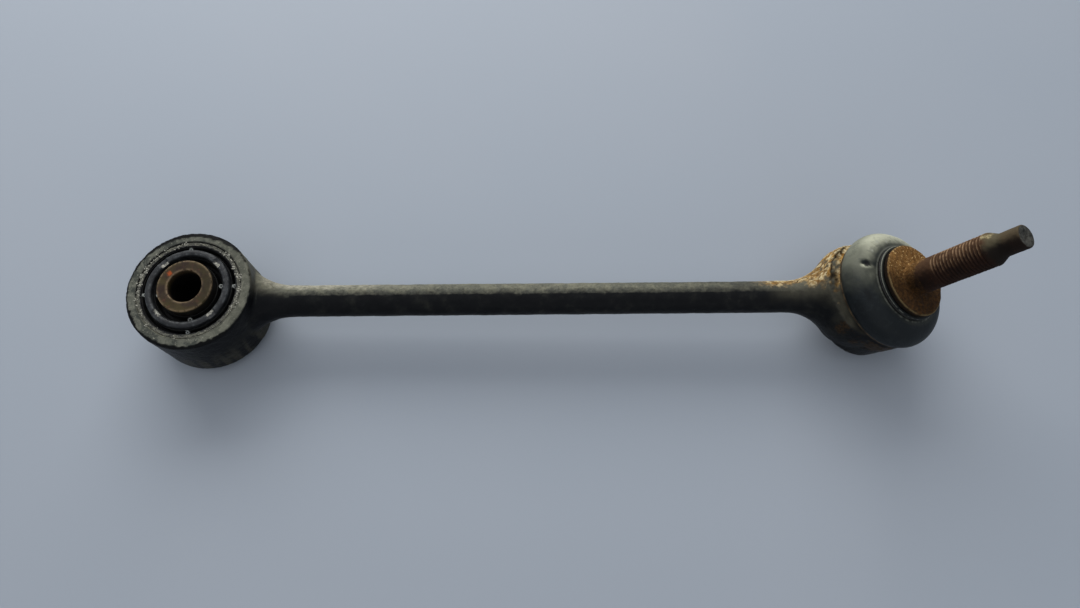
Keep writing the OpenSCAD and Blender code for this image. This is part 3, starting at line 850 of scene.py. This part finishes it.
def interleaf():
    """Ring between the rubber layers: a rounded bead at each end with bare moulding notches."""
    half = INTERLEAF_HALF
    middle, bend = (INTERLEAF_IN + INTERLEAF_OUT) / 2, (INTERLEAF_OUT - INTERLEAF_IN) / 2 - 0.02
    rise = 0.95
    cap = [(middle + bend * math.cos(a), half - rise + rise * math.sin(a))
           for a in np.linspace(0, math.pi, 19)]
    outline = [(middle + bend, 0)] + cap + [(middle - bend, 0)] + [(r, -h) for r, h in reversed(cap)]

    def notched(r, h, t):
        from_notch = np.abs((t * NOTCHES / FULL_TURN) % 1 - 0.5) * FULL_TURN / NOTCHES * r
        notch = ease(NOTCH_W / 2 + 0.2 - from_notch, 0, 0.3)
        bits = ring_grain(r, h, t, 1.3, 3, 6)
        low = np.minimum(np.abs(h), half - NOTCH_DEPTH * notch)
        return r, np.sign(h) * (low + 0.07 * bits * ease(np.abs(h), half - 1.5, half - 0.8))
    piece = lathe("interleaf_ring", finely(outline, 1.0), 320, shape=notched, loop=True)
    p, _ = points_of(piece)
    angle = np.arctan2(p[:, 1], p[:, 0])
    from_notch = np.abs((angle * NOTCHES / FULL_TURN) % 1 - 0.5) * FULL_TURN / NOTCHES * middle
    bits = grain(p, 0.9, 3, 3)
    depth = np.hypot(p[:, 0], p[:, 1]) - INTERLEAF_IN
    bare = ease(NOTCH_W / 2 + 0.1 + 0.3 * bits - from_notch, 0, 0.25)
    bare *= ease(np.abs(p[:, 2]), half - 2.0, half - 1.3)
    bare *= ease(1.35 + 0.5 * bits - depth, 0, 0.3) * ease(depth, 0.1, 0.35)
    mark(piece, "bare", bare * ease(bits, -0.6, -0.2))
    # Painted highlight: pale lines along the crests of each end bead
    crest_highlight = np.exp(-((depth - 0.75) / 0.22) ** 2) + 0.7 * np.exp(-((depth - 2.2) / 0.2) ** 2)
    mark(piece, "crest_highlight", crest_highlight * ease(np.abs(p[:, 2]), half - 1.0, half - 0.3) * ease(bits, -0.4, 0.2))
    return wear(piece, "bush_middle", "interleaf", interleaf_material(), "bush_interleaf_ring")


def core():
    """Inner sleeve with worn chamfers."""
    corners = [(BORE_R, 0), (BORE_R, -CORE_HALF), (CORE_R, -CORE_HALF), (CORE_R, CORE_HALF),
               (BORE_R, CORE_HALF), (BORE_R, 0)]
    outline = finely(soften(corners, 0.55, 3), 0.5)[:-1]

    def dented(r, h, t):
        bits = ring_grain(r, h, t, 2.2, 3, 7)
        at_end = ease(np.abs(h), CORE_HALF - 0.8, CORE_HALF - 0.2)
        return r, h - np.sign(h) * at_end * 0.12 * np.clip(bits + 0.2, 0, 1)
    piece = lathe("inner_sleeve", outline, 192, shape=dented, loop=True)
    p, _ = points_of(piece)
    from_axis = np.hypot(p[:, 0], p[:, 1])
    at_end = ease(np.abs(p[:, 2]), CORE_HALF - 0.9, CORE_HALF - 0.5)
    bits = grain(p, 0.9, 3, 9)
    edge = np.exp(-((from_axis - BORE_R - 0.25) / 0.28) ** 2)
    edge += np.exp(-((from_axis - CORE_R + 0.25) / 0.28) ** 2)
    mark(piece, "worn", at_end * np.clip(edge, 0, 1) * ease(bits, -0.5, 0.1) * 0.45)
    spot = Vector((-5.9, 4.8, CORE_HALF))
    away = np.linalg.norm(p - np.array(spot), axis=1)
    mark(piece, "spot", ease(0.9 + 0.5 * bits - away, -0.2, 0.3))
    # Painted shade: the bore's wall goes near-black deeper in
    inside = ease(BORE_R + 0.12 - from_axis, 0, 0.1)
    mark(piece, "inside", inside * ease(CORE_HALF - np.abs(p[:, 2]), 0.6, 4))
    side = ease(from_axis, CORE_R - 0.25, CORE_R - 0.1)
    side *= ease(CORE_HALF - 0.45 + 0.2 * bits - np.abs(p[:, 2]), 0, 0.3)
    # The end faces also go darker towards +X
    shade = at_end * ease(p[:, 0] + 1.5 * bits, 1, 9)
    mark(piece, "skin", np.maximum(0.9 * side, 0.35 * shade))
    return wear(piece, "bush_core", "core", core_material(), "bush_inner_sleeve")


# Ball joint

PIT_ANGLE = math.radians(164)
PIT_HEIGHT = 13.0
PIT_R = 18.5
HOLLOW_R = DOME_R - BOOT_WALL
LIP_BOTTOM = DOME_TOP - BOOT_WALL


def boot_outline():
    """Half section of the boot: dome, groove for the wire ring, bead, lip and hollow."""
    base_angle = math.degrees(math.asin((BOOT_BASE - BELLY_H) / DOME_R))
    foot_r = DOME_C + HOLLOW_R
    lip_r = LAND_R + 0.05
    dome = arc((DOME_C, BELLY_H), DOME_R, base_angle, 84, 28)
    top = [(GROOVE_R + 0.2, DOME_TOP + 0.02), (GROOVE_R, DOME_TOP + 0.2), (GROOVE_R, BEAD_BASE)]
    bead = arc((BEAD_R - 0.42, BEAD_BASE + 0.42), 0.42, -90, 75, 8)
    inside = [(lip_r, BEAD_TOP - 0.25), (lip_r, LIP_BOTTOM), (DOME_C, LIP_BOTTOM)]
    hollow = arc((DOME_C, BELLY_H), HOLLOW_R, 84, 0, 14)
    return [(foot_r, BOOT_BASE)] + dome + top + bead + inside + hollow + [(foot_r, RING_TOP + 0.2)]


def boot_relief(r, h, t):
    """Soft lumps on the dome, and one deep pit."""
    bits = ring_grain(r, h, t, 9.0, 2, 11)
    on_dome = ease(r, GROOVE_R + 1.0, GROOVE_R + 2.5) * ease(h, BOOT_BASE + 0.3, BOOT_BASE + 2)
    away = np.sqrt(((t - PIT_ANGLE) * PIT_R / 1.25) ** 2 + (h - PIT_HEIGHT) ** 2)
    pit = np.exp(-(away / 0.7) ** 2) * (r > HOLLOW_R + DOME_C - 6)
    move = on_dome * (0.12 * bits - 0.05 - 0.9 * pit)
    return r + (r - DOME_C) / DOME_R * move, h + (h - BELLY_H) / DOME_R * move


def boot_marks(piece):
    """Pit, dark smears, pale specks and dust in the crease; painted shade in the groove and on the lip toward the
    flange, and a painted highlight along the bead's edge.
    """
    p, _ = points_of(piece)
    radius, height, angle = joint_polar(p)
    bits = grain(p, 1.2, 3, 15)

    def patch(turn, level, width, tall):
        """A ragged patch: 1 inside it, 0 outside."""
        across = (angle - math.radians(turn) + math.pi) % FULL_TURN - math.pi
        away = np.sqrt((across * PIT_R / width) ** 2 + ((height - level) / tall) ** 2)
        return ease(1 + 0.35 * bits - away, 0, 0.5)
    dark = np.maximum(patch(164, PIT_HEIGHT, 1.6, 1.15), 0.6 * patch(-161, 12.4, 3.0, 0.9))
    dark = np.maximum(dark, 0.35 * patch(-150, 8.5, 4.5, 2.2))
    # Painted shade in the groove by the wire ring and on the lip toward the flange
    gap = ease(0.75 - np.hypot(radius - GROOVE_R - 0.5, height - DOME_TOP - 0.2), 0, 0.5)
    lip = ease(height, BEAD_BASE + 0.55, BEAD_BASE + 0.7)
    mark(piece, "dark", np.maximum.reduce([dark, gap * 0.8, 0.8 * lip]))
    # Painted highlight along the bead's edge, brighter on the side toward the window; pale dust in the crease
    line = np.exp(-((height - BEAD_BASE - 0.38) / 0.2) ** 2) * ease(radius, BEAD_R - 0.6, BEAD_R - 0.2)
    crease = np.exp(-(np.hypot(radius - GROOVE_R - 1.15, height - DOME_TOP + 0.05) / 0.35) ** 2)
    line = np.maximum(0.75 * line, 0.45 * crease) * ease(bits + 0.5 * np.sin(angle - 0.5), -0.9, 0.3)
    specks = [patch(125, 13.4, 0.7, 0.5), patch(112, 13.9, 0.5, 0.35), patch(143, 13.6, 0.6, 0.3)]
    mark(piece, "pale", np.maximum(line, 0.7 * np.maximum.reduce(specks)))


def boot():
    """Domed dust boot with a lip at the stud."""
    piece = lathe("dust_boot_skin", finely(boot_outline(), 0.6), 224, JOINT, boot_relief, loop=True)
    boot_marks(piece)
    wear(piece, None, "boot", boot_material(), "dust_boot")
    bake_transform(piece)
    return piece


def stud_outline():
    """Half section of the stud from the ball's bottom to the cupped tip, fine where the thread is."""
    flange_under = FLANGE_TOP - FLANGE_T
    neck_angle = math.degrees(math.acos(NECK_R / BALL_R))
    ball = arc((0, 0), BALL_R, -90, neck_angle, 30)
    flange = [(LAND_R, flange_under), (FLANGE_R, flange_under)]
    flange += [(FLANGE_R, FLANGE_TOP), (SHANK_R, FLANGE_TOP)]
    tip = [(SHANK_R, SHANK_TOP), (TIP_R, SHANK_TOP + TIP_CONE), (TIP_R, TIP_TOP), (CUP_R, TIP_TOP)]
    dish = [(CUP_R * (1 - t), TIP_TOP - CUP_DEPTH * (1 - (1 - t) ** 2)) for t in np.linspace(0, 1, 9)]
    neck = [(NECK_R, LAND_BOTTOM - (LAND_R - NECK_R)), (LAND_R, LAND_BOTTOM)]
    body = soften([ball[-1]] + neck + flange + tip, 0.5, 4)
    return ball[:-1] + body + dish[1:]


def stud_relief(r, h, t):
    """Rolled thread on the shank, and rust scale that is thickest on the flange."""
    on_shank = ease(r, SHANK_R - 0.02, SHANK_R - 0.01) * ease(SHANK_R + 0.05 - r, 0, 0.02)
    along = ease(h, THREAD_START, THREAD_START + THREAD_FADE) * ease(THREAD_END - h, 0, THREAD_FADE)
    phase = (h / THREAD_PITCH - t / FULL_TURN) % 1
    valley = 1 - np.clip(np.abs(2 * phase - 1) * 1.25 - 0.05, 0, 1)
    bits = ring_grain(r, h, t, 1.5, 4, 12)
    lumps = ring_grain(r, h, t, 4.0, 2, 13)
    shown = ease(h, FLANGE_TOP - FLANGE_T - 0.2, FLANGE_TOP - FLANGE_T)
    cut = THREAD_DEPTH * along * on_shank * valley * (0.85 + 0.3 * lumps)
    scale = 0.05 + 0.05 * bits + 0.03 * lumps
    on_flange = ease(FLANGE_TOP + 1.5 - h, 0, 1) * shown
    inward = shown * (cut + scale * (1 + on_flange)) * ease(r, 0, 1)
    up = on_flange * ease(h, FLANGE_TOP - 0.5, FLANGE_TOP - 0.1) * 0.28 * np.clip(bits, -0.3, 1)
    return r - inward, h + up * ease(r, SHANK_R, SHANK_R + 0.5)


def stud_marks(piece):
    """Where the stud is scabbed with rust, dusty or worn bright, and where highlight and shade are painted on it.
    """
    p, _ = points_of(piece)
    radius, height, angle = joint_polar(p)
    bits = grain(p, 1.6, 3, 14)
    threaded = ease(height, THREAD_START, THREAD_START + 1) * ease(THREAD_END - height, 0, 1)
    crest_highlight = threaded * ease(radius, SHANK_R - 0.32, SHANK_R - 0.1) * ease(bits, -0.5, 0.3) * 0.75
    # Painted highlight: a pale patch on the tip's cone, on the side toward the window
    worn = np.hypot((height - SHANK_TOP - 0.8) / 2.2, (angle - math.radians(138)) * SHANK_R / 3.2)
    worn = 0.8 * ease(1 + 0.8 * bits - worn, 0, 0.8) * ease(bits, -0.5, 0.2)
    edge = np.exp(-((radius - FLANGE_R + 0.3) / 0.22) ** 2)
    edge *= ease(height, FLANGE_TOP - 0.6, FLANGE_TOP - 0.3)
    mark(piece, "crest_highlight", crest_highlight)
    mark(piece, "worn", worn)
    mark(piece, "edge", 0.6 * edge * ease(bits, -0.6, 0.1))
    creep = 4 + 5 * np.clip(np.sin(angle), 0, 1) + 2.5 * bits
    mark(piece, "scab", ease(FLANGE_TOP + creep - height, -1.5, 2.5))
    # upper: painted light on the flange's window side, painted shade below its top
    mark(piece, "upper", radius * np.sin(angle) / FLANGE_R - 0.8 * ease(FLANGE_TOP - 0.3 - height, 0, 0.6))
    bare = ease(height + bits, SHANK_TOP - 1.0, SHANK_TOP + 1.2)
    mark(piece, "bare", bare * (0.9 - 0.3 * ease(height, SHANK_TOP + TIP_CONE, SHANK_TOP + TIP_CONE + 3)))
    at_tip = ease(height, TIP_TOP - CUP_DEPTH - 0.3, TIP_TOP - CUP_DEPTH - 0.15)
    mark(piece, "end", 0.9 * at_tip * ease(TIP_R - 0.25 + 0.2 * bits - radius, 0, 0.3))
    # Painted shade on the flange's side and underside
    side = ease(FLANGE_TOP - 0.35 + 0.15 * bits - height, 0, 0.3)
    mark(piece, "side", side * ease(radius, LAND_R, LAND_R + 0.5) * 0.85)


def stud():
    """Ball stud with a rolled thread, scabbed with rust at the flange."""
    corners = stud_outline()
    outline = []
    for a, b in zip(corners, corners[1:]):
        on_shank = abs(a[0] - SHANK_R) < 0.01 and abs(b[0] - SHANK_R) < 0.01
        outline += finely([a, b], 0.1 if on_shank else 0.4)[:-1]
    outline.append(Vector((0, TIP_TOP - CUP_DEPTH)))
    piece = lathe("threaded_stud", outline, 120, JOINT, stud_relief)
    stud_marks(piece)
    return wear(piece, "stud", "stud", stud_material(), "ball_stud")


def rings_and_plate():
    """CAD nodes whose shape is right get their finish."""
    finishes = {
        "boot_lower_ring": steel_material("lower_ring_steel", srgb(40, 32, 24), srgb(96, 80, 58)),
        "boot_upper_ring": steel_material("wire_ring_steel", srgb(18, 18, 18), srgb(44, 44, 42)),
        "housing_end_plate": steel_material("end_plate_paint", srgb(40, 40, 38), srgb(84, 78, 66)),
        "ball_seat": seat_material(),
    }
    for node, finish in finishes.items():
        data = frame["nodes"][node].data
        data.materials.clear()
        data.materials.append(finish)


# Stage

FLOOR_SIZE = 5.0
FLOOR_COLOR = srgb(162, 172, 184)
BACKDROP_COLOR = srgb(172, 180, 190)
ROOM_LIGHT = (0.80, 0.86, 0.95, 1)
ROOM_STRENGTH = 0.14


def resting_floor():
    """Floor under the sleeve's lower edge and the housing's back edge, which the link lies on."""
    box_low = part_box("link_forging")[0]
    lowest = min(frame["nodes"]["link_forging"].data.vertices, key=lambda v: v.co.z).co
    near = Vector((-(CORE_R - 0.5) * MM, 0, -CORE_HALF * MM))
    slope = math.atan2(near.z - box_low.z, lowest.x - near.x)
    mesh = bpy.data.meshes.new("floor")
    half = FLOOR_SIZE / 2
    corners = [(-half, -half, 0), (half, -half, 0), (half, half, 0), (-half, half, 0)]
    mesh.from_pydata(corners, [], [(0, 1, 2, 3)])
    floor = as_object("floor", mesh)
    floor.matrix_world = Matrix.Translation(near) @ Matrix.Rotation(slope, 4, "Y")
    s = Surface("floor_paint")
    cloud = s.noise(180, 3, 0.5)
    color = s.mix(cloud, FLOOR_COLOR, srgb(170, 177, 187))
    mesh.materials.append(s.done(color, 0.6))


def lamp(name, place, aim, size, power, color=(1, 1, 1)):
    """Soft square lamp that faces a point."""
    light = bpy.data.lights.new(name, "AREA")
    light.shape = "RECTANGLE"
    light.size, light.size_y = size
    light.energy = power
    light.color = color
    made = bpy.data.objects.new(name, light)
    bpy.context.scene.collection.objects.link(made)
    made.location = place
    made.rotation_euler = (Vector(aim) - Vector(place)).to_track_quat("-Z", "Y").to_euler()


def room(light, strength, seen):
    """World that lights softly, and that the camera and reflections see as a plain pale backdrop."""
    world = bpy.data.worlds.new("room")
    world.use_nodes = True
    tree = world.node_tree
    glow = tree.nodes["Background"]
    glow.inputs["Color"].default_value = light
    glow.inputs["Strength"].default_value = strength
    backdrop = tree.nodes.new("ShaderNodeBackground")
    backdrop.inputs["Color"].default_value = seen
    choose = tree.nodes.new("ShaderNodeMixShader")
    rays = tree.nodes.new("ShaderNodeLightPath")
    shown = rays.outputs["Is Camera Ray"]
    for kind in ("Is Glossy Ray", "Is Transmission Ray"):
        either = tree.nodes.new("ShaderNodeMath")
        either.operation = "MAXIMUM"
        tree.links.new(shown, either.inputs[0])
        tree.links.new(rays.outputs[kind], either.inputs[1])
        shown = either.outputs[0]
    tree.links.new(shown, choose.inputs[0])
    tree.links.new(glow.outputs[0], choose.inputs[1])
    tree.links.new(backdrop.outputs[0], choose.inputs[2])
    tree.links.new(choose.outputs[0], tree.nodes["World Output"].inputs["Surface"])
    bpy.context.scene.world = world


def studio():
    """Window light from behind, a wide soft ceiling, a weak light from the front and a dim room."""
    middle = CAMERA_AIM
    lamp("window", middle + Vector((-0.15, 0.75, 0.5)), middle, (1.0, 0.5), 6.5, (1.0, 0.99, 0.97))
    lamp("ceiling", middle + Vector((-0.2, 0.4, 2.6)), middle, (6.0, 6.0), 60, (0.97, 0.98, 1.0))
    lamp("front", middle + Vector((0.2, -1.0, 0.45)), middle, (1.2, 0.6), 1.7, (0.95, 0.97, 1.0))
    room(ROOM_LIGHT, ROOM_STRENGTH, BACKDROP_COLOR)
    bpy.context.scene.view_settings.view_transform = "Standard"


def camera():
    """The photograph's camera."""
    data = bpy.data.cameras.new("camera")
    data.lens = CAMERA_LENS
    data.clip_start = 0.01
    made = bpy.data.objects.new("camera", data)
    bpy.context.scene.collection.objects.link(made)
    tilt = Matrix.Rotation(math.pi / 2 - CAMERA_ELEVATION, 4, "X")
    roll = Matrix.Rotation(-CAMERA_ROLL, 4, "Z")
    back = Matrix.Translation((0, 0, CAMERA_DISTANCE))
    made.matrix_world = Matrix.Translation(CAMERA_AIM) @ tilt @ roll @ back
    bpy.context.scene.camera = made


camera()
studio()
resting_floor()
forging()
outer_sleeve()
outer_layer = (INTERLEAF_OUT + 0.05, SLEEVE_IN, OUTER_RUBBER_HALF)
inner_layer = (CORE_R + 0.05, INTERLEAF_IN, INNER_RUBBER_HALF)
rubber("outer_rubber", ("link", "bush_middle"), *outer_layer, "bush_outer_rubber", 0.1)
rubber("inner_rubber", ("bush_middle",), *inner_layer, "bush_inner_rubber", 0.15)
interleaf()
core()
boot()
stud()
rings_and_plate()
